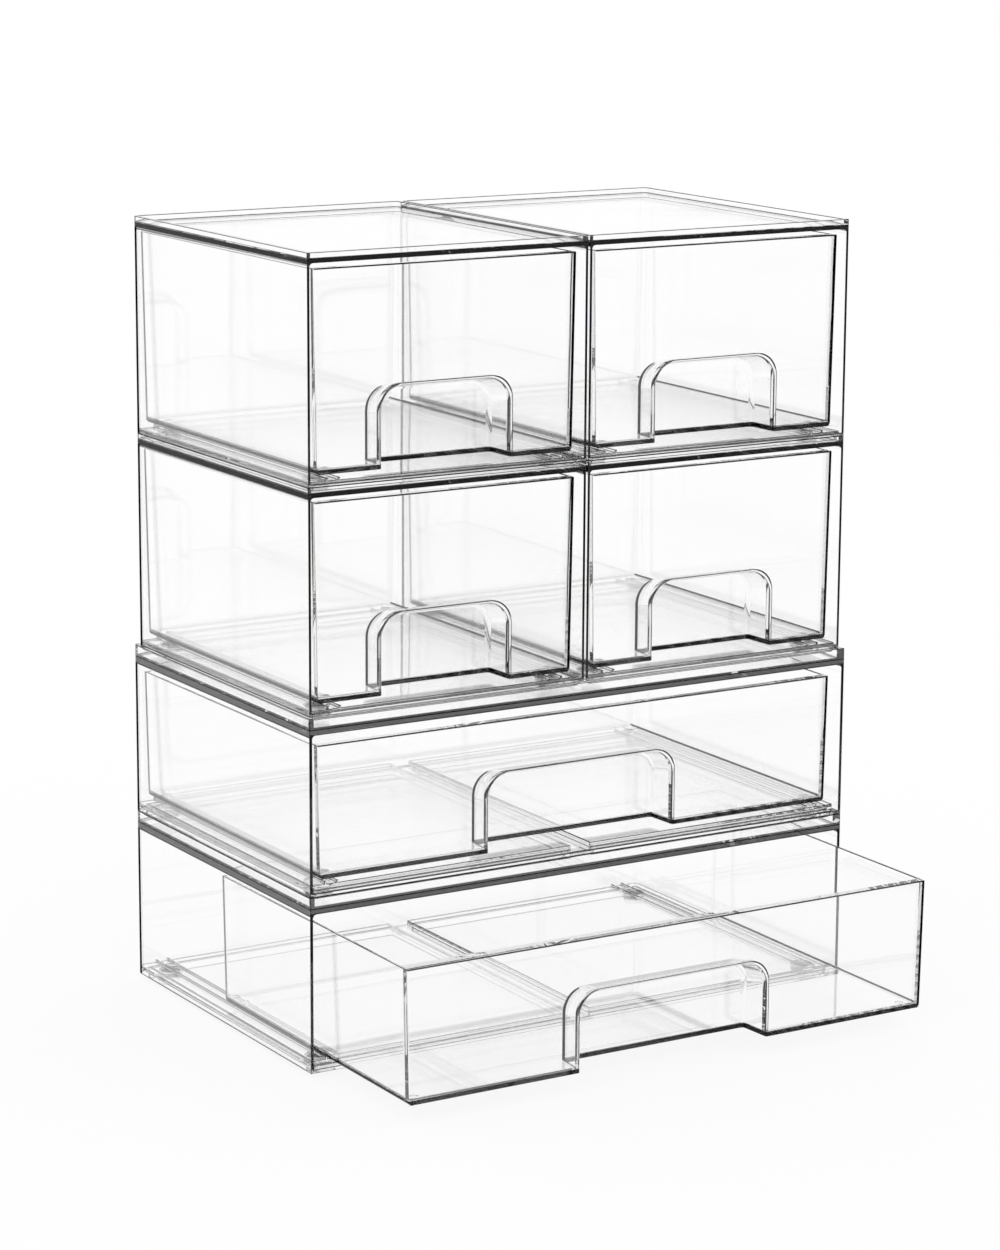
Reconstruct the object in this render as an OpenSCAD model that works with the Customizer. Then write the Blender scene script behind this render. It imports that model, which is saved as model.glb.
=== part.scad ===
// Stack of clear drawer units for crafts and small parts. Two wide units stand at the bottom, and
// two columns of two narrow units stand on them. Each unit is an open-fronted housing with one
// drawer. A rim round the top of every housing locates the plinth rings of the unit above it.
// Millimetres: +X is to the right, +Y to the back, +Z up. The origin is on the table, in the
// middle of the stack's outline with its lowest drawer pulled out.

/* [Narrow units] */
// Width of a narrow housing
narrow_w = 156.5; // [130:0.5:190]
// Depth of a narrow housing
narrow_d = 188.5; // [150:0.5:230]
// Height of a narrow housing, from the foot of its walls to the top of its rim
narrow_h = 112; // [90:0.5:150]
// Thickness of its side and back walls
narrow_wall = 1.3; // [1:0.1:2]
// Thickness of its top panel
narrow_panel_t = 2.3; // [1.2:0.1:3]
// Height of the rim above its top panel
narrow_rim_h = 2.8; // [2.4:0.1:5]
// Thickness of that rim
narrow_rim_t = 2.3; // [2:0.1:3.5]
// Thickness of the lip along the foot of its open front
narrow_lip_t = 1.4; // [1:0.1:2]
// Height of its floor's upper face above the foot of the walls
narrow_floor_rise = 2.2; // [2.2:0.1:5]
// How far its drawer's front stands behind the housing's front
narrow_setback = 3.3; // [1:0.1:8]
// Gap from its drawer's top edge out to the side wall
narrow_side_gap = 3.5; // [1:0.1:6]
// Gap from its drawer's top edge up to the top panel
narrow_top_gap = 2.9; // [1.5:0.1:10]
// How far each side of its drawer leans in from top to bottom
narrow_draft = 1.6; // [0:0.1:3]
// Width of the finger recess in its drawer's front
narrow_recess_w = 72.4; // [50:0.1:90]

/* [Wide units] */
// Height of a wide housing, from the foot of its walls to the top of its rim
wide_h = 89.5; // [80:0.5:130]
// Thickness of its side and back walls
wide_wall = 1.6; // [1.2:0.1:2.5]
// Thickness of its top panel
wide_panel_t = 3.4; // [1.5:0.1:4]
// Height of the rim above its top panel
wide_rim_h = 5.2; // [3.2:0.1:7]
// Thickness of that rim
wide_rim_t = 3.5; // [3.3:0.1:4.5]
// Thickness of the lip along the foot of its open front
wide_lip_t = 1.9; // [1:0.1:2.2]
// Height of its floor's upper face above the foot of the walls
wide_floor_rise = 4.2; // [3.8:0.1:7]
// How far its drawer's front stands behind the housing's front
wide_setback = 4.6; // [1:0.1:8]
// Gap from its drawer's top edge out to the side wall
wide_side_gap = 5; // [1:0.1:7]
// Gap from its drawer's top edge up to the top panel
wide_top_gap = 6.4; // [1.5:0.1:10]
// How far each side of its drawer leans in from top to bottom
wide_draft = 1.3; // [0:0.1:3]
// Width of the finger recess in its drawer's front
wide_recess_w = 110; // [60:0.5:160]
// Width of the groove in its floor, between its two plinth rings
wide_groove_w = 11.5; // [8:0.5:16]

/* [Stacking] */
// Gap between the two columns of narrow units
column_gap = 1.1; // [0.5:0.1:3]
// How far a wide housing stands out past the narrow pair on each side
side_margin = 1.7; // [0.5:0.1:2]
// How far a wide housing stands out past the narrow pair at the front and back
end_margin = 3; // [1:0.1:3.1]
// Gap between a plinth ring and the rim it nests in
nest_gap = 0.6; // [0.3:0.1:1.5]
// Gap under a plinth ring, above the panel it nests over
plinth_clear = 0.5; // [0.2:0.1:1]
// Thickness of the plinth ring's wall
plinth_t = 1.5; // [1:0.1:2.5]

/* [Housing details] */
// Thickness of the floor
floor_t = 1.7; // [1:0.1:2]
// Radius of the housing's upright back corners
corner_r = 4.5; // [4:0.1:8]
// Radius of the fillet where the top panel meets the walls inside
fillet_r = 2; // [0.5:0.1:3]
// Width of a guide rail on the floor
rail_w = 1.2; // [0.8:0.1:2]
// Height of a guide rail above the floor
rail_h = 1.4; // [0.6:0.1:2]

/* [Anti-slip pads] */
// Diameter of a pad
pad_d = 11; // [8:0.5:14]
// Thickness of a pad
pad_t = 2.4; // [1.5:0.1:3]
// Radius of the pad's rounded lower edge
pad_edge_r = 0.8; // [0.3:0.1:1.2]
// Distance from the housing's side to the middle of a pad
pad_side_inset = 13; // [12.5:0.5:20]
// Distance from the housing's front or back to the middle of a pad
pad_end_inset = 16; // [14:0.5:24]

/* [Drawers] */
// Thickness of a drawer's front
front_t = 4.5; // [2:0.1:6]
// Thickness of a drawer's side and back walls
drawer_wall = 1.5; // [1:0.1:2.5]
// Thickness of a drawer's floor
drawer_floor_t = 2.4; // [1.5:0.1:3]
// Radius of a drawer's upright back corners
drawer_back_r = 1; // [0.8:0.1:8]
// Radius along the lower side and back edges of a drawer
drawer_foot_r = 2; // [0.5:0.1:4]
// Radius of the fillet along a drawer's inner lower edges
drawer_fillet_r = 1; // [0.5:0.1:3]
// Gap from a closed drawer to the housing's back wall
back_gap = 0.6; // [0.4:0.1:4]
// Height of the nubs that a drawer slides on
nub_h = 2.9; // [2.2:0.1:5]
// Diameter of a nub
nub_d = 4; // [2:0.1:5]
// Distance from the housing's side to the middle of a nub
nub_inset = 15; // [14:0.5:22]
// Distance from a drawer's front or back to the middle of a nub
nub_end = 10; // [8:0.5:20]
// Gap from a nub to the rail on each side of it
nub_play = 0.7; // [0.3:0.1:1.5]
// How far the lowest drawer stands open
lower_open = 87; // [0:1:150]

/* [Finger recess] */
// Height of the recess at the drawer's front
recess_h = 40; // [25:0.5:48]
// Depth of the recess, from the drawer's front
recess_d = 20; // [14:0.5:30]
// Thickness of the recess's walls
recess_wall = 1.6; // [1:0.1:2.5]
// Radius of the recess's upper corners
recess_r = 12; // [6:0.5:18]
// Radius of the recess's upright inner corners
recess_back_r = 1.5; // [1:0.5:8]
// How far each side of the recess leans in from front to back
recess_lean = 1.2; // [0:0.1:4]
// How far the roof of the recess falls from front to back
recess_fall = 3.5; // [0:0.1:6]

/* [Hidden] */
$fn = 48;

clear_styrene = [0.9, 0.93, 0.95, 0.35];
clear_drawer = [0.86, 0.9, 0.93, 0.45];
clear_silicone = [0.8, 0.82, 0.84, 0.7];

cut = 1;              // how far a cutting shape runs past the face it opens
arc_steps = 6;        // steps in each rounded corner of a loft
front_edge_r = 0.6;   // radius of a drawer's upright front edges
boss_margin = 0.5;    // how far a floor boss reaches past its pad
least_r = 0.5;        // least radius of an inner corner

wide_w = 2 * narrow_w + column_gap + 2 * side_margin;
wide_d = narrow_d + 2 * end_margin;

// A unit lands inside the lower of the two rims, so its pads and plinth rings follow that rim
pad_drop = min(narrow_rim_h, wide_rim_h);
plinth_drop = pad_drop - plinth_clear;
boss_foot = pad_t - pad_drop;
rail_offset = nub_d / 2 + nub_play + rail_w / 2;
boss_d = pad_d + 2 * boss_margin;

// Insets of the plinth rings from the housing's sides and ends: clear of both kinds of rim
narrow_ring_inset = narrow_rim_t + nest_gap;
wide_ring_side = max(side_margin + narrow_rim_t, wide_rim_t) + nest_gap;
wide_ring_end = max(end_margin + narrow_rim_t, wide_rim_t) + nest_gap;

// Drawer sizes, from the bay that each one fills
narrow_lift = narrow_floor_rise + nub_h;
wide_lift = wide_floor_rise + nub_h;
narrow_drawer_w = narrow_w - 2 * narrow_wall - 2 * narrow_side_gap;
narrow_drawer_d = narrow_d - narrow_wall - narrow_setback - back_gap;
narrow_drawer_h = narrow_h - narrow_rim_h - narrow_panel_t - narrow_top_gap - narrow_lift;
wide_drawer_w = wide_w - 2 * wide_wall - 2 * wide_side_gap;
wide_drawer_d = wide_d - wide_wall - wide_setback - back_gap;
wide_drawer_h = wide_h - wide_rim_h - wide_panel_t - wide_top_gap - wide_lift;

// Places: each unit's own origin is at the middle of its front, at the foot of its walls
wide_front_y = -(wide_d + min(0, wide_setback - lower_open)) / 2;
narrow_front_y = wide_front_y + end_margin;
column_x = (narrow_w + column_gap) / 2;
lower_z = pad_drop;
upper_z = lower_z + wide_h;
middle_z = upper_z + wide_h;
top_z = middle_z + narrow_h;

module at_lower() { translate([0, wide_front_y, lower_z]) children(); }
module at_upper() { translate([0, wide_front_y, upper_z]) children(); }
module at_middle(side) { translate([side * column_x, narrow_front_y, middle_z]) children(); }
module at_top(side) { translate([side * column_x, narrow_front_y, top_z]) children(); }

// ---- shapes shared by both kinds of unit ----

// Plan of a housing: square front corners, rounded back corners
module plan(w, y0, y1, r) {
    translate([-w / 2, y0]) square([w, y1 - y0 - r]);
    translate([r - w / 2, y0]) square([w - 2 * r, y1 - y0]);
    for (side = [-1, 1]) translate([side * (w / 2 - r), y1 - r]) circle(r);
}

// Upright section with its upper corners rounded, centred on x
module arched_section(w, h, r) {
    translate([-w / 2, 0]) square([w, h - r]);
    translate([r - w / 2, 0]) square([w - 2 * r, h]);
    for (side = [-1, 1]) translate([side * (w / 2 - r), h - r]) circle(r);
}

// Space inside the walls, from z0 up to z1, with a fillet under the top panel
module bay(w, d, wall, z0, z1) {
    inner_w = w - 2 * wall;
    intersection() {
        translate([0, 0, z0]) linear_extrude(z1 - z0)
            plan(inner_w, -cut, d - wall, corner_r - wall);
        translate([0, d, z0]) rotate([90, 0, 0]) linear_extrude(d + cut)
            arched_section(inner_w, z1 - z0, fillet_r);
        translate([-w / 2, 0, z0]) rotate([90, 0, 90]) linear_extrude(w)
            arched_section(2 * (d - wall), z1 - z0, fillet_r);
    }
}

// Ring from x0 to x1 that stands down from a floor at height z1, and nests in the rim below.
// Its back corners follow the housing's, so that they stay clear of the rim
module plinth_ring(x0, x1, y0, y1, z1) {
    w = x1 - x0;
    r = max(corner_r - y0, least_r);
    translate([(x0 + x1) / 2, 0, -plinth_drop]) linear_extrude(plinth_drop + z1)
        difference() {
            plan(w, y0, y1, r);
            plan(w - 2 * plinth_t, y0 + plinth_t, y1 - plinth_t, max(r - plinth_t, least_r));
        }
}

// One pair of guide rails on each side, from the floor's front edge to the back wall
module guide_rails(w, y0, y1, floor_z) {
    for (side = [-1, 1], rail = [-1, 1])
        translate([side * (w / 2 - nub_inset) + rail * rail_offset - rail_w / 2, y0,
                   floor_z - floor_t / 2])
            cube([rail_w, y1 - y0, rail_h + floor_t / 2]);
}

// Places its child over or under each of the four corners
module at_corners(w, d, side_inset, end_inset) {
    for (side = [-1, 1], y = [end_inset, d - end_inset])
        translate([side * (w / 2 - side_inset), y, 0]) children();
}

// Housing of one unit. groove_w is the width of the floor groove, or 0 for none
module housing(w, d, h, wall, panel_t, rim_h, rim_t, lip_t, floor_rise, ring_side, ring_end, groove_w) {
    panel_z = h - rim_h - panel_t;
    inner_w = w - 2 * wall;
    floor_under = floor_rise - floor_t;
    floor_mid = floor_rise - floor_t / 2;
    difference() {
        linear_extrude(h) plan(w, 0, d, corner_r);
        // the field inside the rim
        translate([0, 0, h - rim_h]) linear_extrude(rim_h + cut)
            plan(w - 2 * rim_t, rim_t, d - rim_t, max(corner_r - rim_t, least_r));
        // the drawer's bay, down to the floor
        bay(w, d, wall, floor_rise, panel_z);
        // the step in front of the floor, over the lip
        translate([-inner_w / 2, -cut, lip_t])
            cube([inner_w, ring_end + cut, floor_rise - lip_t + cut]);
        // the groove between the two plinth rings
        if (groove_w > 0)
            translate([-groove_w / 2, 0, lip_t])
                cube([groove_w, d - wall, floor_rise - lip_t + cut]);
        // the hollow under the floor
        difference() {
            translate([0, 0, -cut]) linear_extrude(floor_under + cut)
                plan(inner_w, ring_end, d - wall, corner_r - wall);
            if (groove_w > 0)
                translate([-groove_w / 2 - plinth_t / 2, 0, -2 * cut])
                    cube([groove_w + plinth_t, d, floor_rise + 2 * cut]);
        }
    }
    if (groove_w > 0)
        for (side = [-1, 1])
            plinth_ring(min(side * (w / 2 - ring_side), side * groove_w / 2),
                        max(side * (w / 2 - ring_side), side * groove_w / 2),
                        ring_end, d - ring_end, floor_mid);
    else
        plinth_ring(ring_side - w / 2, w / 2 - ring_side, ring_end, d - ring_end, floor_mid);
    guide_rails(w, ring_end, d - wall / 2, floor_rise);
    at_corners(w, d, pad_side_inset, pad_end_inset)
        translate([0, 0, boss_foot]) cylinder(d = boss_d, h = floor_mid - boss_foot);
}

// Four soft discs under the floor bosses
module pads(w, d) {
    at_corners(w, d, pad_side_inset, pad_end_inset)
        translate([0, 0, -pad_drop]) rotate_extrude() {
            square([pad_d / 2 - pad_edge_r, pad_t]);
            translate([0, pad_edge_r]) square([pad_d / 2, pad_t - pad_edge_r]);
            translate([pad_d / 2 - pad_edge_r, pad_edge_r])
                intersection() {
                    circle(pad_edge_r);
                    translate([0, -pad_edge_r]) square(2 * pad_edge_r);
                }
        }
}

// ---- lofted shapes of the drawers ----

// Points on an arc about [cx, cy] from angle a0 to a1
function arc(cx, cy, r, a0, a1) =
    [for (i = [0:arc_steps]) let (a = a0 + (a1 - a0) * i / arc_steps)
        [cx + r * cos(a), cy + r * sin(a)]];

// Closed skin of triangles through a list of rings of 3-D points, all with the same count.
// Each ring runs anticlockwise, seen from the last ring's end
module loft(rings) {
    n = len(rings[0]);
    last = len(rings) - 1;
    sides = [for (k = [0:last - 1], i = [0:n - 1]) let (j = (i + 1) % n)
        each [[k * n + i, (k + 1) * n + j, k * n + j],
              [k * n + i, (k + 1) * n + i, (k + 1) * n + j]]];
    first_cap = [for (i = [0:n - 1]) i];
    last_cap = [for (i = [n - 1:-1:0]) last * n + i];
    polyhedron(points = [for (ring = rings) each ring],
               faces = concat([first_cap], sides, [last_cap]), convexity = 4);
}

// Level ring of a tray at height z: half width, front and back, corner radii
function tray_ring(z, half_w, y0, y1, r_front, r_back) =
    [for (p = concat(
            arc(r_front - half_w, y0 + r_front, r_front, 180, 270),
            arc(half_w - r_front, y0 + r_front, r_front, 270, 360),
            arc(half_w - r_back, y1 - r_back, r_back, 0, 90),
            arc(r_back - half_w, y1 - r_back, r_back, 90, 180)))
        [p[0], p[1], z]];

// Tray shape: sides lean out by draft over height h, lower side and back edges rounded by foot_r
module tray(w, d, h, draft, y0, inset, z0, r_front, r_back, foot_r, top) {
    lean = draft / h;
    half_w = w / 2 - inset;
    function half_at(z) = half_w - draft + lean * z;
    foot = [for (i = [0:arc_steps]) let (a = 90 * i / arc_steps)
        [z0 + foot_r * (1 - cos(a)), foot_r * (1 - sin(a))]];
    loft(concat(
        [for (f = foot) tray_ring(f[0], half_at(f[0]) - f[1], y0, d - inset - f[1],
                                  r_front, r_back)],
        [tray_ring(top, half_at(top), y0, d - inset, r_front, r_back)]));
}

// Upright ring of the finger recess at depth y: an arch open at its foot z0
function arch_ring(y, half_w, z0, top, r) =
    [for (p = concat([[half_w, z0], [-half_w, z0]],
            arc(r - half_w, top - r, r, 180, 90), arc(half_w - r, top - r, r, 90, 0)))
        [p[0], y, p[1]]];

// Recess shape, grown by grow on every side, from depth y0 to its rounded back
module recess(w, y0, z0, grow) {
    back = recess_d - recess_wall + grow;
    back_r = recess_back_r + grow;
    function half_at(y) = w / 2 + grow - recess_lean * y / back;
    function roof_at(y) = recess_h + grow - recess_fall * y / back;
    turn = [for (i = [0:arc_steps]) let (a = 90 * i / arc_steps)
        [back - back_r * (1 - sin(a)), back_r * (1 - cos(a))]];
    loft([for (s = concat([[y0, 0]], turn))
        arch_ring(s[0], half_at(s[0]) - s[1], z0, roof_at(s[0]), recess_r)]);
}

// Drawer of one unit, from its own front and underside
module drawer(w, d, h, draft, recess_w, nub_x) {
    difference() {
        union() {
            difference() {
                tray(w, d, h, draft, 0, 0, 0, front_edge_r, drawer_back_r, drawer_foot_r, h);
                tray(w, d, h, draft, front_t, drawer_wall, drawer_floor_t, front_edge_r,
                     max(drawer_back_r - drawer_wall, least_r), drawer_fillet_r, h + cut);
            }
            recess(recess_w, front_t / 2, 0, recess_wall);
            for (side = [-1, 1], y = [nub_end, d - nub_end])
                translate([side * nub_x, y, -nub_h]) cylinder(d = nub_d, h = nub_h + drawer_floor_t / 2);
        }
        recess(recess_w, -cut, -cut, 0);
    }
}

module narrow_housing() {
    color(clear_styrene)
        housing(narrow_w, narrow_d, narrow_h, narrow_wall, narrow_panel_t, narrow_rim_h,
                narrow_rim_t, narrow_lip_t, narrow_floor_rise, narrow_ring_inset,
                narrow_ring_inset, 0);
}

module wide_housing() {
    color(clear_styrene)
        housing(wide_w, wide_d, wide_h, wide_wall, wide_panel_t, wide_rim_h,
                wide_rim_t, wide_lip_t, wide_floor_rise, wide_ring_side, wide_ring_end,
                wide_groove_w);
}

module narrow_drawer() {
    color(clear_drawer) translate([0, narrow_setback, narrow_lift])
        drawer(narrow_drawer_w, narrow_drawer_d, narrow_drawer_h, narrow_draft,
               narrow_recess_w, narrow_w / 2 - nub_inset);
}

module wide_drawer() {
    color(clear_drawer) translate([0, wide_setback, wide_lift])
        drawer(wide_drawer_w, wide_drawer_d, wide_drawer_h, wide_draft,
               wide_recess_w, wide_w / 2 - nub_inset);
}

module narrow_pads() { color(clear_silicone) pads(narrow_w, narrow_d); }
module wide_pads() { color(clear_silicone) pads(wide_w, wide_d); }

// ---- the pieces, each in its place ----

module housing_wide_lower() { at_lower() wide_housing(); }
module housing_wide_upper() { at_upper() wide_housing(); }
module housing_middle_left() { at_middle(-1) narrow_housing(); }
module housing_middle_right() { at_middle(1) narrow_housing(); }
module housing_top_left() { at_top(-1) narrow_housing(); }
module housing_top_right() { at_top(1) narrow_housing(); }

module drawer_wide_lower() { at_lower() translate([0, -lower_open, 0]) wide_drawer(); }
module drawer_wide_upper() { at_upper() wide_drawer(); }
module drawer_middle_left() { at_middle(-1) narrow_drawer(); }
module drawer_middle_right() { at_middle(1) narrow_drawer(); }
module drawer_top_left() { at_top(-1) narrow_drawer(); }
module drawer_top_right() { at_top(1) narrow_drawer(); }

module pads_wide_lower() { at_lower() wide_pads(); }
module pads_wide_upper() { at_upper() wide_pads(); }
module pads_middle_left() { at_middle(-1) narrow_pads(); }
module pads_middle_right() { at_middle(1) narrow_pads(); }
module pads_top_left() { at_top(-1) narrow_pads(); }
module pads_top_right() { at_top(1) narrow_pads(); }

housing_wide_lower();
housing_wide_upper();
housing_middle_left();
housing_middle_right();
housing_top_left();
housing_top_right();
drawer_wide_lower();
drawer_wide_upper();
drawer_middle_left();
drawer_middle_right();
drawer_top_left();
drawer_top_right();
pads_wide_lower();
pads_wide_upper();
pads_middle_left();
pads_middle_right();
pads_top_left();
pads_top_right();
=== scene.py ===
"""Looks of a stack of clear drawer units: moulded clear plastic on a white floor.

Shapes are worked out in millimetres, each in its own place: x from the middle of the unit, y from
the drawer's front, z from its underside. They are put into the shared frame in metres.
"""
import math

import bmesh
import bpy
import numpy as np
from mathutils import Matrix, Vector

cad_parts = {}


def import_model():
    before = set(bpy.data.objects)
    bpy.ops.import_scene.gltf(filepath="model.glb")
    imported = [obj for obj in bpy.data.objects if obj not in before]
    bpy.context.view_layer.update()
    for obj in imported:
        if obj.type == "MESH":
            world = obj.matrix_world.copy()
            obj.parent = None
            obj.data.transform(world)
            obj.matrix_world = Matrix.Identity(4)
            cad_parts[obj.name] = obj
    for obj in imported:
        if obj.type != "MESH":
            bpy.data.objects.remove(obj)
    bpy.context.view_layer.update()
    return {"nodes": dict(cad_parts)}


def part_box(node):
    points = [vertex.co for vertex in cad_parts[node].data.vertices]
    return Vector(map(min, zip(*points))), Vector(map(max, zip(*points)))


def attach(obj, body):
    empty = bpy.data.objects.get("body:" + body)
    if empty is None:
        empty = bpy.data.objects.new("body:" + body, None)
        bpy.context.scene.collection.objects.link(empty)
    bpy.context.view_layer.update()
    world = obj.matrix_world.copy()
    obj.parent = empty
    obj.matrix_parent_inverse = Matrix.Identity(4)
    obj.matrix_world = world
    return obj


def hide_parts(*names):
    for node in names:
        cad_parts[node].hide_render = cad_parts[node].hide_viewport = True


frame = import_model()

MM = 0.001

# ---- camera: place in metres and turns in degrees ----
CAMERA_AT = (-1.00296, -1.62267, 0.61261)
CAMERA_TURN = 31.26     # to the right of straight back
CAMERA_DIP = 12.19      # below level
CAMERA_ROLL = 0.32
CAMERA_LENS = 137.06    # mm, on a picture 36 mm wide
PICTURE_WIDTH = 36
CAMERA_NEAR = 0.05      # nearest and farthest that it sees, in metres
CAMERA_FAR = 60

# ---- places of the units, and the sizes of each kind in mm ----
# A painted shade band's two numbers set its lower edge from the top panel's lower face, and its
# upper edge from the upper face. band_line is the width of the painted dark line along each edge
# of a paler painted band; on a narrow unit the two lines meet, and the whole band is painted dark.
PLACES = ("wide_lower", "wide_upper", "middle_left", "middle_right", "top_left", "top_right")
KINDS = {
    "narrow": {"housing_h": 112, "panel_t": 2.3, "rim_h": 2.8, "lip_t": 1.4,
               "front_band": (0, 0), "side_band": (-0.4, -0.3), "band_line": 2,
               "draft": 1.6, "recess_w": 72.4, "nub_x": 63.25},
    "wide": {"housing_h": 89.5, "panel_t": 3.4, "rim_h": 5.2, "lip_t": 1.9,
             "front_band": (0, -0.3), "side_band": (-0.9, -0.3), "band_line": 0.6,
             "draft": 1.3, "recess_w": 110, "nub_x": 143.75},
}

# ---- drawers, mm ----
FRONT_T = 4.5           # thickness of the front
WALL_T = 1.5            # thickness of the other walls
FLOOR_T = 2.4
FRONT_R = 0.6           # radius of the upright front edges
BACK_R = 1.0            # radius of the upright back corners
FOOT_R = 2.0            # radius along the lower side and back edges
FILLET_R = 1.0          # radius of the fillet inside along the floor
INNER_R = 0.5           # radius of the upright inner corners
NUB_H = 2.9
NUB_D = 4.0
NUB_END = 10.0          # from the front or back to the middle of a nub
NUB_ROUND = 0.8         # radius round a nub's foot

# ---- finger recess, mm ----
RECESS_H = 40.0
RECESS_D = 20.0
RECESS_WALL = 1.6
RECESS_R = 12.0         # radius of the upper corners
RECESS_BACK_R = 1.5     # radius of the upright inner corners
RECESS_LEAN = 1.2       # how far each side leans in from front to back
RECESS_FALL = 3.5       # how far the roof falls from front to back
MOUTH_R = 1.2           # radius round the mouth's edge
SIDE_LINE = 2.0         # depth of the painted dark line on the left side, before the back corner

# ---- pads, mm ----
PAD_D = 11.0
PAD_T = 2.4
PAD_EDGE_R = 0.8

# ---- how finely the shapes are made, mm ----
CUT = 1.0               # how far a cutting shape runs past the face it opens
ARC_STEPS = 10          # steps in each rounded corner
NUB_SIDES = 32          # steps round a nub
PAD_SIDES = 64          # steps round a pad
SOFT_EDGE = 0.3         # radius on every sharp moulded edge
FLAT = math.radians(0.5)        # faces that meet at less than this are one
SHARP = math.radians(32)        # edges that turn by more than this are softened
JOIN = 1e-4             # points of a drawer closer than this are one before its edges are softened
SPECK = 0.001           # and after
CAD_JOIN = 1e-6         # the same for a housing's CAD mesh, in metres
ON_PLANE = 1e-6         # points this near to a cut lie on it
TOUCH = 0.01            # a face whose middle is this near to a drawer's front lies in it
UP = (0, 0, 1)
BACKWARDS = (0, 1, 0)

# ---- where dark lines of painted shade go on the plastic, mm ----
TOP_LINE = 0.7          # width along the top of a drawer's front
END_LINE = 1.8          # width at its right-hand end
CORNER_R = 4.5          # radius of a housing's upright back corners
BACK_LINE = 1.4         # width beside its left back corner
SKIN = 2.0              # a housing's outer faces lie within this of its outline
BOTTOM = 0.1            # its plinth rings' lower faces lie within this of its lowest point

# ---- which way a face painted dark turns: parts of its unit normal ----
UPRIGHT = 0.5           # an upright face has less than this up or down
SQUARE = 0.9            # a face square to an axis has at least this along it
MOUTH_OUTER = (0.951, 0.9995)   # least and most forwards in the mouth's outer line
MOUTH_INNER = (0.02, 0.309)     # and in its inner line
SIDE_LEFT = 0.35        # least to the left at the back of the recess's left side
SIDE_BACK = (-0.1, 0.52)        # least and most backwards there
ROOF_UP = 0.86          # least upwards at the back edge of the recess's roof
ROOF_BACK = 0.22        # least backwards there
CORNER_LEFT = 0.86      # least to the left at a housing's left back corner
END_RIGHT = 0.2         # least to the right on a drawer's rounded right front edge
END_FRONT = 0.1         # least forwards there

# ---- materials of a moulded piece, by index: clear plastic, then painted shade ----
CLEAR, PAINTED_SHADE_BAND, PAINTED_SHADE_LINE, PAINTED_DEEP_SHADE, PAINTED_PALE_SHADE_BAND = range(5)


# ---- shapes ----

def arc(cx, cy, r, start, end):
    """Points on a circle about (cx, cy), at even steps of angle from start to end in degrees."""
    a = np.radians(np.linspace(start, end, ARC_STEPS + 1))
    return np.stack([cx + r * np.cos(a), cy + r * np.sin(a)], axis=1)


def lofted(name, rings):
    """Closed skin through rings of points: side faces join each ring to the next, and a flat
    face closes each end. Rings run anticlockwise, seen from the last ring's end."""
    rings = np.asarray(rings, float)
    count, n = rings.shape[:2]
    here = np.arange(n)
    step = (here + 1) % n
    row = np.arange(count - 1)[:, None] * n
    sides = np.stack([row + here, row + step, row + n + step, row + n + here], axis=2)
    faces = sides.reshape(-1, 4).tolist() + [here[::-1].tolist(), ((count - 1) * n + here).tolist()]
    mesh = bpy.data.meshes.new(name)
    mesh.from_pydata(rings.reshape(-1, 3).tolist(), [], faces)
    return mesh


def combined(base, tool, operation):
    """The base mesh with the tool mesh added to it or cut out of it, as one closed surface."""
    holders = [bpy.data.objects.new(m.name, m) for m in (base, tool)]
    for holder in holders:
        bpy.context.scene.collection.objects.link(holder)
    join = holders[0].modifiers.new(operation, "BOOLEAN")
    join.object, join.operation, join.solver = holders[1], operation, "EXACT"
    bpy.context.view_layer.update()
    depsgraph = bpy.context.evaluated_depsgraph_get()
    made = bpy.data.meshes.new_from_object(holders[0].evaluated_get(depsgraph))
    for holder in holders:
        bpy.data.objects.remove(holder)
    return made


def tray(name, w, d, h, draft, y0, inset, z0, corner_r, foot_r, top):
    """Tray shape. At each height its outline is a rectangle with rounded corners, whose half
    width is the foot's plus draft times height over h. The foot is a quarter circle: the outline
    steps in by foot_r (1 - sin a) at the height z0 + foot_r (1 - cos a)."""
    a = np.radians(np.linspace(0, 90, ARC_STEPS + 1))
    heights = np.append(z0 + foot_r * (1 - np.cos(a)), top)
    steps_in = np.append(foot_r * (1 - np.sin(a)), 0)
    r_front, r_back = corner_r
    rings = []
    for z, step in zip(heights, steps_in):
        half = w / 2 - inset - draft + draft * z / h - step
        y1 = d - inset - step
        outline = np.concatenate([
            arc(r_front - half, y0 + r_front, r_front, 180, 270),
            arc(half - r_front, y0 + r_front, r_front, 270, 360),
            [[half, y0 + FRONT_T]],
            arc(half - r_back, y1 - r_back, r_back, 0, 90),
            arc(r_back - half, y1 - r_back, r_back, 90, 180)])
        rings.append(np.column_stack([outline, np.full(len(outline), z)]))
    return lofted(name, rings)


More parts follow.
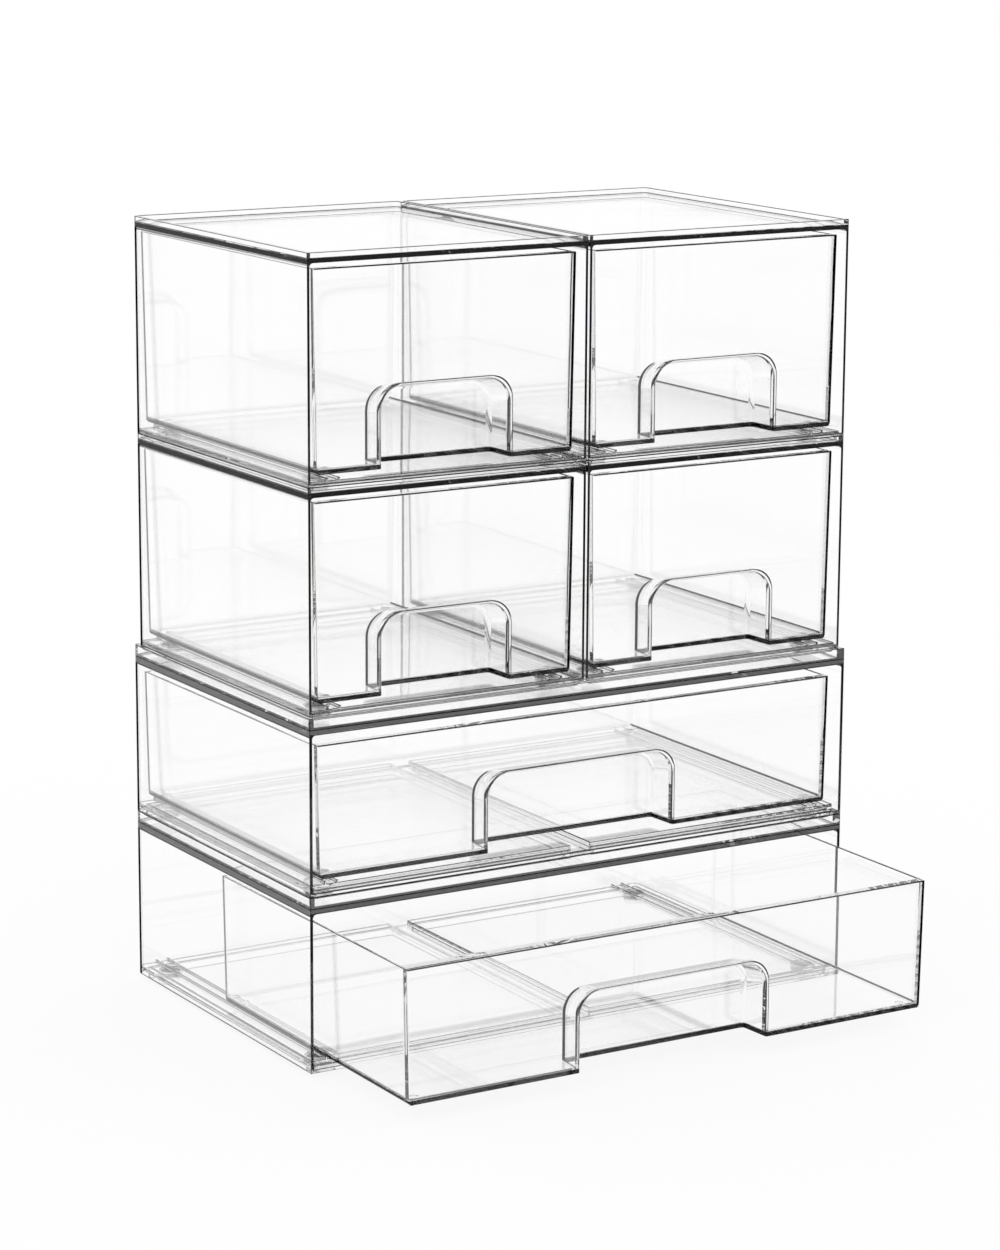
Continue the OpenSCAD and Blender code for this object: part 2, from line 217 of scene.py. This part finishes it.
def recess(name, w, y0, z0, grow, mouth_r):
    """Finger recess. At each depth y its outline is an arch open at the foot. The half width
    falls by RECESS_LEAN and the roof by RECESS_FALL over the depth. A quarter circle rounds the
    back, and near y = 0 the mouth opens out by mouth_r - sqrt(mouth_r^2 - (mouth_r - y)^2)."""
    back = RECESS_D - RECESS_WALL + grow
    back_r = RECESS_BACK_R + grow
    a = np.radians(np.linspace(0, 90, ARC_STEPS + 1))
    depths = np.concatenate([[y0, back - back_r - SIDE_LINE], back - back_r * (1 - np.sin(a))])
    steps_in = np.concatenate([[0, 0], back_r * (1 - np.cos(a))])
    if mouth_r > 0:
        mouth = mouth_r * (1 - np.cos(a))
        depths = np.insert(depths, 1, mouth)
        steps_in = np.insert(steps_in, 1, -mouth_r * (1 - np.sin(a)))
        steps_in[0] = -mouth_r
    rings = []
    for y, step in zip(depths, steps_in):
        share = max(y, 0) / back
        half = w / 2 + grow - RECESS_LEAN * share - step
        roof = RECESS_H + grow - RECESS_FALL * share - step
        outline = np.concatenate([
            [[half, z0], [-half, z0]],
            arc(RECESS_R - half, roof - RECESS_R, RECESS_R, 180, 90),
            arc(half - RECESS_R, roof - RECESS_R, RECESS_R, 90, 0)])
        rings.append(np.column_stack([outline[:, 0], np.full(len(outline), y), outline[:, 1]]))
    return lofted(name, rings)


def turned(name, profile, centres, sides):
    """Solids of revolution: the profile's (radius, height) points, carried round each centre."""
    angle = np.linspace(0, 2 * np.pi, sides, endpoint=False)
    profile = np.asarray(profile, float)
    around = np.stack([np.cos(angle), np.sin(angle)], axis=1)
    ring_xy = profile[:, None, :1] * around[None]
    ring_z = np.broadcast_to(profile[:, None, 1:], (len(profile), sides, 1))
    rings = np.concatenate([ring_xy, ring_z], axis=2)
    bm = bmesh.new()
    for x, y in centres:
        part = lofted(name, rings + np.array([x, y, 0]))
        bm.from_mesh(part)
        bpy.data.meshes.remove(part)
    mesh = bpy.data.meshes.new(name)
    bm.to_mesh(mesh)
    bm.free()
    return mesh


def cut_faces(bm, point, across):
    """Cuts every face that crosses the plane through a point, square to the direction across,
    without parting the solid."""
    everything = bm.verts[:] + bm.edges[:] + bm.faces[:]
    bmesh.ops.bisect_plane(bm, geom=everything, plane_co=point, plane_no=across,
                           dist=ON_PLANE)


def moulded(bm, name, soft_edge, speck=0):
    """Makes flat faces whole, softens each sharp edge by soft_edge, takes out faces smaller than
    speck, and shades flats as flat. A softened edge that turns outwards is painted as a dark line."""
    bmesh.ops.dissolve_limit(bm, angle_limit=FLAT, verts=bm.verts, edges=bm.edges,
                             delimit={"MATERIAL"})
    sharp = [e for e in bm.edges if e.is_manifold and e.calc_face_angle() > SHARP]
    # Every softened face takes the painted dark line of shade; those that turn inwards go back to
    # clear below.
    bmesh.ops.bevel(bm, geom=sharp, offset=soft_edge, offset_type="OFFSET", segments=2,
                    profile=0.5, affect="EDGES", clamp_overlap=False, material=PAINTED_SHADE_LINE)
    if speck > 0:
        bmesh.ops.remove_doubles(bm, verts=bm.verts, dist=speck)
        bmesh.ops.dissolve_degenerate(bm, dist=speck, edges=bm.edges)
    bm.normal_update()
    for face in bm.faces:
        face.smooth = True
        inwards = sum(edge.calc_face_angle_signed(0) for edge in face.edges) < 0
        if face.material_index == PAINTED_SHADE_LINE and inwards:
            face.material_index = CLEAR
    rough = bpy.data.meshes.new(name)
    bm.to_mesh(rough)
    bm.free()
    holder = bpy.data.objects.new(name, rough)
    bpy.context.scene.collection.objects.link(holder)
    holder.modifiers.new("flats", "WEIGHTED_NORMAL")
    bpy.context.view_layer.update()
    depsgraph = bpy.context.evaluated_depsgraph_get()
    mesh = bpy.data.meshes.new_from_object(holder.evaluated_get(depsgraph))
    bpy.data.objects.remove(holder)
    return mesh


def kind_of(place):
    return KINDS["wide" if place.startswith("wide") else "narrow"]


def housing_surface(place):
    """The CAD housing with its triangles joined. Light is trapped in the outer edge of the top
    panel, in the front ends of the side walls and in the plinth rings, and this shade is painted
    on them as dark bands. The thicker panel of a wide housing has a paler painted band between two
    dark painted lines. A thin dark line of painted shade runs down the left side at the rounded
    back corner."""
    node = "housing_" + place
    kind = kind_of(place)
    low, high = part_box(node)
    field = high.z - kind["rim_h"] * MM
    under = field - kind["panel_t"] * MM
    lip = high.z + (kind["lip_t"] - kind["housing_h"]) * MM
    front_band = (under + kind["front_band"][0] * MM, field + kind["front_band"][1] * MM)
    side_band = (under + kind["side_band"][0] * MM, field + kind["side_band"][1] * MM)
    line = kind["band_line"] * MM
    bm = bmesh.new()
    bm.from_mesh(frame["nodes"][node].data)
    bmesh.ops.remove_doubles(bm, verts=bm.verts, dist=CAD_JOIN)
    back_line = high.y - (CORNER_R + BACK_LINE) * MM
    cut_faces(bm, (0, back_line, 0), BACKWARDS)
    cut_faces(bm, (0, 0, lip), UP)
    for lower, upper in (front_band, side_band):
        for z in (lower, lower + line, upper - line, upper):
            cut_faces(bm, (0, 0, z), UP)
    middle = (low + high) / 2
    half = (high - low) / 2
    for face in bm.faces:
        at = face.calc_center_median()
        off = at - middle
        turn = face.normal
        outward = turn.x * off.x + turn.y * off.y > 0
        inset = min(half.x - abs(off.x), half.y - abs(off.y))
        outer = abs(turn.z) < UPRIGHT and outward and inset < SKIN * MM
        front = turn.y < -SQUARE
        wall_end = front and half.x - abs(off.x) < SKIN * MM and lip < at.z < under
        bottom, top = front_band if front else side_band
        # Painted shade: the top panel's outer edge, the walls' front ends and the plinth rings'
        # lower faces take the dark band, a wide panel's edge the paler band, and the left back
        # corner the darkest line.
        if outer and bottom + line < at.z < top - line:
            face.material_index = PAINTED_PALE_SHADE_BAND
        elif outer and (wall_end or bottom < at.z < top):
            face.material_index = PAINTED_SHADE_BAND
        elif outer and turn.x < -CORNER_LEFT and at.y > back_line and at.z < under:
            face.material_index = PAINTED_DEEP_SHADE
        elif turn.z < -SQUARE and at.z < low.z + BOTTOM * MM:
            face.material_index = PAINTED_SHADE_BAND
    return moulded(bm, "clear_housing_" + place, SOFT_EDGE * MM)


def drawer_surface(name, kind, w, d, h):
    """A drawer from its own front and underside: tray, recess and nubs as one closed surface.
    The photo shows light trapped in its floor plate's edge, at its front's right-hand end and top
    edge, round the recess's mouth and at the recess's left side, so these are dark."""
    body = tray("tray", w, d, h, kind["draft"], 0, 0, 0, (FRONT_R, BACK_R), FOOT_R, h)
    inside = tray("inside", w, d, h, kind["draft"], FRONT_T, WALL_T, FLOOR_T,
                  (FRONT_R, INNER_R), FILLET_R, h + CUT)
    body = combined(body, inside, "DIFFERENCE")
    recess_w = kind["recess_w"]
    body = combined(body, recess("bump", recess_w, FRONT_T / 2, 0, RECESS_WALL, 0), "UNION")
    round_foot = arc(NUB_D / 2 - NUB_ROUND, NUB_ROUND - NUB_H, NUB_ROUND, -90, 0)
    profile = np.concatenate([round_foot, [[NUB_D / 2, FLOOR_T / 2]]])
    centres = [(side * kind["nub_x"], y) for side in (-1, 1) for y in (NUB_END, d - NUB_END)]
    body = combined(body, turned("nubs", profile, centres, NUB_SIDES), "UNION")
    body = combined(body, recess("hollow", recess_w, -CUT, -CUT, 0, MOUTH_R), "DIFFERENCE")
    bm = bmesh.new()
    bm.from_mesh(body)
    bmesh.ops.remove_doubles(bm, verts=bm.verts, dist=JOIN)
    end = w / 2 - kind["draft"] - END_LINE
    cut_faces(bm, (0, 0, FLOOR_T), UP)
    cut_faces(bm, (0, 0, h - TOP_LINE), UP)
    cut_faces(bm, (end, 0, 0), (h, 0, -kind["draft"]))
    line_start = RECESS_D - RECESS_WALL - RECESS_BACK_R - SIDE_LINE
    least_back, most_back = SIDE_BACK
    for face in bm.faces:
        at = face.calc_center_median()
        turn = face.normal
        near_recess = abs(at.x) < recess_w / 2 + 2 * RECESS_WALL
        back_of_recess = near_recess and line_start < at.y < RECESS_D and at.z > FLOOR_T
        left_side = at.x < 0 and turn.x < -SIDE_LEFT and least_back < turn.y < most_back
        roof_back = turn.z > ROOF_UP and turn.y > ROOF_BACK
        mouth = near_recess and at.y < MOUTH_R and turn.y < 0
        mouth_line = any(least < -turn.y < most for least, most in (MOUTH_OUTER, MOUTH_INNER))
        corner_turn = turn.x > END_RIGHT and turn.y < -END_FRONT
        front_turn = turn.y < -SQUARE
        right_end = at.y < FRONT_T and at.x > end + kind["draft"] * at.z / h
        front_top = front_turn and at.y < TOUCH and at.z > h - TOP_LINE
        # Painted shade: the floor plate's edge takes the dark band; the front's right-hand end and
        # the recess's left side and roof back take the darkest colour; the mouth's lines and the
        # front's top edge take a dark line.
        if 0 < at.z < FLOOR_T and abs(turn.z) < SQUARE and turn.y < UPRIGHT:
            face.material_index = PAINTED_SHADE_BAND
        elif right_end and (corner_turn or front_turn):
            face.material_index = PAINTED_DEEP_SHADE
        elif back_of_recess and (left_side or roof_back):
            face.material_index = PAINTED_DEEP_SHADE
        elif mouth and mouth_line or front_top:
            face.material_index = PAINTED_SHADE_LINE
    return moulded(bm, name, SOFT_EDGE, SPECK)


def placed(mesh, name, x, y, z):
    """A copy of a shape in mm, put into the frame in metres, with its place in its mesh."""
    copy = mesh.copy()
    copy.name = name
    copy.transform(Matrix.Translation((x, y, z)) @ Matrix.Scale(MM, 4))
    return copy


def piece(mesh, name, body, node, materials):
    """A piece that stands for a CAD node, rides on its body and has its materials."""
    for m in materials:
        mesh.materials.append(m)
    made = bpy.data.objects.new(name, mesh)
    bpy.context.scene.collection.objects.link(made)
    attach(made, body)
    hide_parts(node)


def pad_surface(node):
    """Four soft discs: the profile is a rectangle with a quarter circle at its lower corner."""
    low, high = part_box(node)
    r = PAD_D / 2
    x = (high.x - low.x) / 2 / MM - r
    y = (high.y - low.y) / 2 / MM - r
    round_foot = arc(r - PAD_EDGE_R, PAD_EDGE_R, PAD_EDGE_R, -90, 0)
    round_head = arc(r - SOFT_EDGE, PAD_T - SOFT_EDGE, SOFT_EDGE, 0, 90)
    centres = [(a * x, b * y) for a in (-1, 1) for b in (-1, 1)]
    bm = bmesh.new()
    bm.from_mesh(turned("pads", np.concatenate([round_foot, round_head]), centres, PAD_SIDES))
    middle = (low + high) / 2
    return placed(moulded(bm, "pads", SOFT_EDGE), "clear_" + node, middle.x, middle.y, low.z)


# ---- materials ----
PLASTIC_INDEX = 1.57    # how strongly styrene bends light
RIPPLE_SCALE = 22       # ripples per metre


def new_material(name):
    m = bpy.data.materials.new(name)
    m.use_nodes = True
    m.node_tree.nodes.clear()
    return m, m.node_tree.nodes, m.node_tree.links


def clear_plastic(name, colour, density, roughness, ripple, index=PLASTIC_INDEX, clearness=1):
    """Clear moulded plastic: light passes through, dims evenly on its way, and bends a little at
    the slow ripple that moulding leaves in a flat face. Scales are per metre of the object."""
    m, nodes, links = new_material(name)
    out = nodes.new("ShaderNodeOutputMaterial")
    shade = nodes.new("ShaderNodeBsdfPrincipled")
    # A dark colour tints the light that passes; this gives the bands, lines and corners their
    # painted shade.
    shade.inputs["Base Color"].default_value = colour + (1,)
    shade.inputs["Transmission Weight"].default_value = clearness
    shade.inputs["Roughness"].default_value = roughness
    shade.inputs["IOR"].default_value = index
    place = nodes.new("ShaderNodeTexCoord")
    noise = nodes.new("ShaderNodeTexNoise")
    noise.inputs["Scale"].default_value = RIPPLE_SCALE
    noise.inputs["Detail"].default_value = 1
    bump = nodes.new("ShaderNodeBump")
    bump.inputs["Strength"].default_value = 1
    bump.inputs["Distance"].default_value = ripple
    links.new(place.outputs["Object"], noise.inputs["Vector"])
    links.new(noise.outputs["Fac"], bump.inputs["Height"])
    links.new(bump.outputs["Normal"], shade.inputs["Normal"])
    dim = nodes.new("ShaderNodeVolumeAbsorption")
    dim.inputs["Color"].default_value = (0, 0, 0, 1)
    dim.inputs["Density"].default_value = density
    links.new(shade.outputs[0], out.inputs["Surface"])
    links.new(dim.outputs[0], out.inputs["Volume"])
    return m


# ---- surroundings ----
SKY_LOW = 0.32          # sine of the height at which the sky starts to dim, seen in the plastic
SKY_HIGH = 0.62         # and at which it is darkest
SKY_DARK = 0.15
FLOOR_PALE = 0.10       # share of the floor's white that takes shadow
FLOOR_REACH = 20        # metres from the middle to the floor's edge
MIX_A, MIX_B, MIX_RESULT = 6, 7, 2      # places of a Mix node's colour sockets


def world():
    """An even white sky. In reflections and through the plastic it dims from low to high."""
    w = bpy.data.worlds.new("studio")
    bpy.context.scene.world = w
    w.use_nodes = True
    nodes, links = w.node_tree.nodes, w.node_tree.links
    nodes.clear()
    out = nodes.new("ShaderNodeOutputWorld")
    sky = nodes.new("ShaderNodeBackground")
    place = nodes.new("ShaderNodeTexCoord")
    split = nodes.new("ShaderNodeSeparateXYZ")
    ramp = nodes.new("ShaderNodeValToRGB")
    low, high = ramp.color_ramp.elements
    low.position, low.color = SKY_LOW, (1, 1, 1, 1)
    high.position, high.color = SKY_HIGH, (SKY_DARK,) * 3 + (1,)
    ray = nodes.new("ShaderNodeLightPath")
    through = nodes.new("ShaderNodeMath")
    through.operation = "MAXIMUM"
    mix = nodes.new("ShaderNodeMix")
    mix.data_type = "RGBA"
    mix.inputs[MIX_A].default_value = (1, 1, 1, 1)
    links.new(place.outputs["Generated"], split.inputs[0])
    links.new(split.outputs["Z"], ramp.inputs[0])
    links.new(ray.outputs["Is Glossy Ray"], through.inputs[0])
    links.new(ray.outputs["Is Transmission Ray"], through.inputs[1])
    links.new(through.outputs[0], mix.inputs[0])
    links.new(ramp.outputs[0], mix.inputs[MIX_B])
    links.new(mix.outputs[MIX_RESULT], sky.inputs[0])
    links.new(sky.outputs[0], out.inputs[0])


def floor():
    """White floor: part of its white comes from itself and part takes the object's shadow."""
    mesh = bpy.data.meshes.new("floor")
    r = FLOOR_REACH
    corners = [(-r, -r, 0), (r, -r, 0), (r, r, 0), (-r, r, 0)]
    mesh.from_pydata(corners, [], [(0, 1, 2, 3)])
    ground = bpy.data.objects.new("floor", mesh)
    bpy.context.scene.collection.objects.link(ground)
    m, nodes, links = new_material("white_floor")
    out = nodes.new("ShaderNodeOutputMaterial")
    matt = nodes.new("ShaderNodeBsdfDiffuse")
    matt.inputs["Color"].default_value = (FLOOR_PALE,) * 3 + (1,)
    glow = nodes.new("ShaderNodeEmission")
    ray = nodes.new("ShaderNodeLightPath")
    seen = nodes.new("ShaderNodeMath")
    seen.operation = "SUBTRACT"
    seen.inputs[0].default_value = 1
    share = nodes.new("ShaderNodeMath")
    share.operation = "MULTIPLY"
    share.inputs[1].default_value = 1 - FLOOR_PALE
    both = nodes.new("ShaderNodeAddShader")
    links.new(ray.outputs["Is Diffuse Ray"], seen.inputs[1])
    links.new(seen.outputs[0], share.inputs[0])
    links.new(share.outputs[0], glow.inputs["Strength"])
    links.new(matt.outputs[0], both.inputs[0])
    links.new(glow.outputs[0], both.inputs[1])
    links.new(both.outputs[0], out.inputs["Surface"])
    mesh.materials.append(m)


def camera():
    """Camera at the photograph's viewing angle."""
    data = bpy.data.cameras.new("camera")
    data.lens = CAMERA_LENS
    data.sensor_fit = "HORIZONTAL"
    data.sensor_width = PICTURE_WIDTH
    data.clip_start, data.clip_end = CAMERA_NEAR, CAMERA_FAR
    eye = bpy.data.objects.new("camera", data)
    turn = (Matrix.Rotation(-math.radians(CAMERA_TURN), 4, "Z")
            @ Matrix.Rotation(math.radians(90 - CAMERA_DIP), 4, "X")
            @ Matrix.Rotation(math.radians(CAMERA_ROLL), 4, "Z"))
    eye.matrix_world = Matrix.Translation(CAMERA_AT) @ turn
    bpy.context.scene.collection.objects.link(eye)
    bpy.context.scene.camera = eye


# ---- the scene ----
BOUNCES = 64            # light passes through many faces of clear plastic
DIFFUSE_BOUNCES = 3
scene = bpy.context.scene
scene.view_settings.view_transform = "Standard"
scene.cycles.max_bounces = BOUNCES
scene.cycles.transmission_bounces = BOUNCES
scene.cycles.glossy_bounces = BOUNCES
scene.cycles.diffuse_bounces = DIFFUSE_BOUNCES

camera()
world()
floor()

WHITE = (1, 1, 1)
# Painted shade: dark, pale and darkest tints of the clear plastic for the bands and lines where
# light is trapped in its edges.
SHADE_BAND_COLOUR = (0.012, 0.012, 0.013)
BAND_INDEX = 1.2        # a painted dark band gives back little of the sky
PALE_SHADE_BAND_COLOUR = (0.13, 0.13, 0.133)
PALE_CLEARNESS = 0.5    # share of the light that the paler painted band lets in
SHADE_LINE_COLOUR = (0.012, 0.012, 0.013)
LINE_INDEX = 1.3
DEEP_SHADE_COLOUR = (0.0006, 0.0006, 0.0007)
CORNER_INDEX = 1.02     # a painted dark line at a grazing corner gives back no sky
DIM = 1.5               # how much light the plastic takes up, per metre
RIPPLE = 2e-5           # metres
SILICONE = (0.95, 0.955, 0.96)
SILICONE_DIM = 6
SILICONE_ROUGHNESS = 0.08
SILICONE_RIPPLE = 1e-5

# Each piece's materials: its clear plastic, then painted shade as a dark band, a dark line, the
# darkest line and, on a housing, a paler band.
housing_plastic_and_painted_shade = (clear_plastic("clear_styrene", WHITE, DIM, 0, RIPPLE),
                  clear_plastic("housing_painted_shade_band", SHADE_BAND_COLOUR, DIM, 0, 0, BAND_INDEX),
                  clear_plastic("housing_painted_shade_line", SHADE_LINE_COLOUR, DIM, 0, 0, LINE_INDEX),
                  clear_plastic("housing_painted_deep_shade", DEEP_SHADE_COLOUR, DIM, 0, 0, CORNER_INDEX),
                  clear_plastic("housing_painted_pale_shade_band", PALE_SHADE_BAND_COLOUR, DIM, 0, 0, PLASTIC_INDEX,
                                PALE_CLEARNESS))
drawer_plastic_and_painted_shade = (clear_plastic("drawer_styrene", WHITE, DIM, 0, RIPPLE),
                 clear_plastic("drawer_painted_shade_band", SHADE_BAND_COLOUR, DIM, 0, 0, BAND_INDEX),
                 clear_plastic("drawer_painted_shade_line", SHADE_LINE_COLOUR, DIM, 0, 0, LINE_INDEX),
                 clear_plastic("drawer_painted_deep_shade", DEEP_SHADE_COLOUR, DIM, 0, 0, CORNER_INDEX))
silicone = (clear_plastic("clear_silicone", SILICONE, SILICONE_DIM, SILICONE_ROUGHNESS,
                          SILICONE_RIPPLE),)

drawer_shapes = {}
for place in PLACES:
    kind = kind_of(place)
    unit, drawer = "unit_" + place, "drawer_" + place
    piece(housing_surface(place), "clear_housing_" + place, unit, "housing_" + place,
          housing_plastic_and_painted_shade)
    low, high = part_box(drawer)
    size = (high - low) / MM
    key = kind["recess_w"]
    if key not in drawer_shapes:
        drawer_shapes[key] = drawer_surface("drawer", kind, size.x, size.y, size.z - NUB_H)
    mesh = placed(drawer_shapes[key], "clear_" + drawer, (low.x + high.x) / 2, low.y,
                  low.z + NUB_H * MM)
    piece(mesh, "clear_" + drawer, drawer, drawer, drawer_plastic_and_painted_shade)
    pads = "pads_" + place
    piece(pad_surface(pads), "clear_" + pads, unit, pads, silicone)
